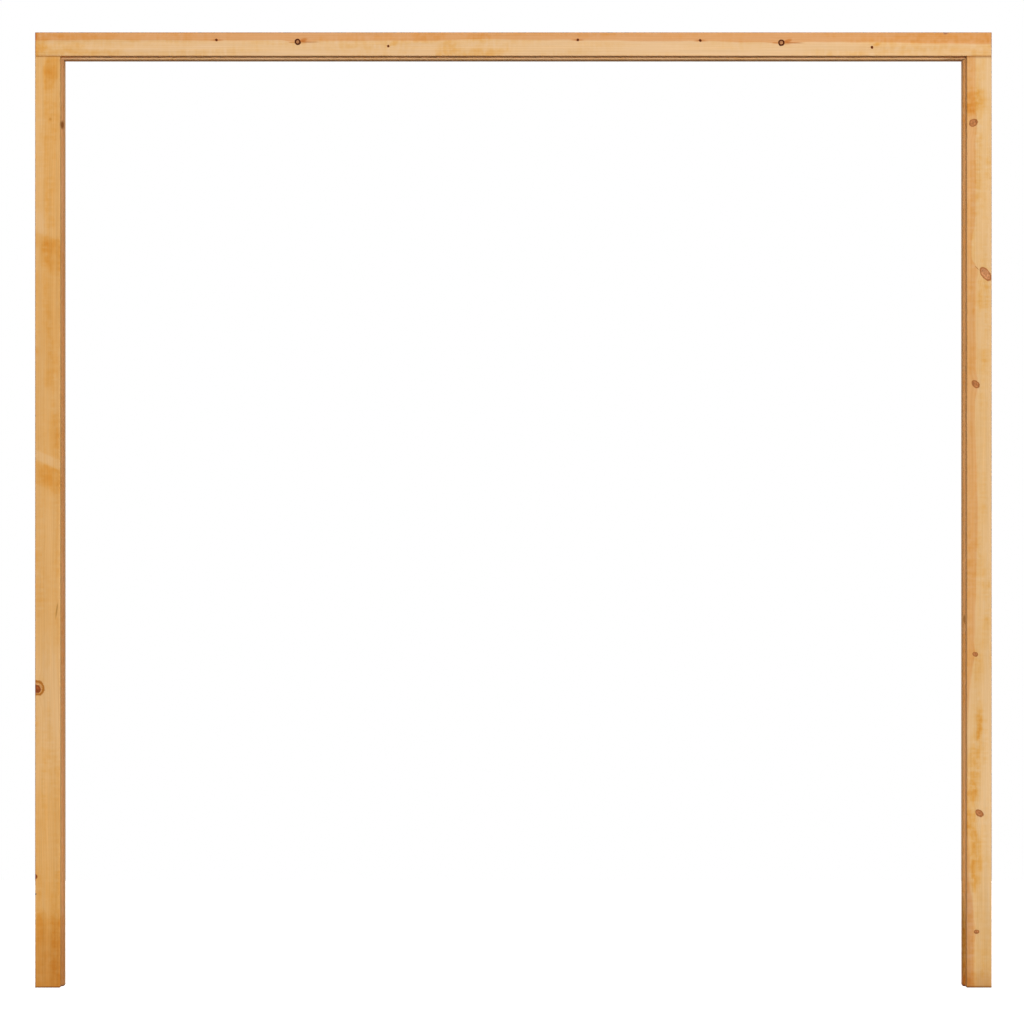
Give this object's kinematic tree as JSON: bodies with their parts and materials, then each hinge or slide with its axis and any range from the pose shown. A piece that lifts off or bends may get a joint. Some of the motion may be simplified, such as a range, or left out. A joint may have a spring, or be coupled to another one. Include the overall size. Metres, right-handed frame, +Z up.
{
  "type": "wooden door frame",
  "caption": "Softwood frame for a pair of doors: a head over two jambs, rebated along the front inner edge, with wedged tenon corners and no sill.",
  "frame": {"origin": "on the floor, midway between the jambs and midway in the depth of the timber", "axes": "+Z up; +X to the right seen from the front; the rebated front face is at -Y"},
  "size_m": [2.258, 0.094, 2.255],
  "materials": {
    "head_timber": "satin oak-coloured basecoat on softwood",
    "left_jamb_timber": "satin oak-coloured basecoat on softwood, with patches of deeper stain",
    "right_jamb_timber": "satin oak-coloured basecoat on softwood",
    "wedge_hardwood": "sawn hardwood, cut off flush"
  },
  "bodies": {
    "root": {"head": "head_timber", "left_jamb": "left_jamb_timber", "right_jamb": "right_jamb_timber", "left_outer_wedge": "wedge_hardwood", "left_inner_wedge": "wedge_hardwood", "right_outer_wedge": "wedge_hardwood", "right_inner_wedge": "wedge_hardwood"}
  },
  "joints": []
}
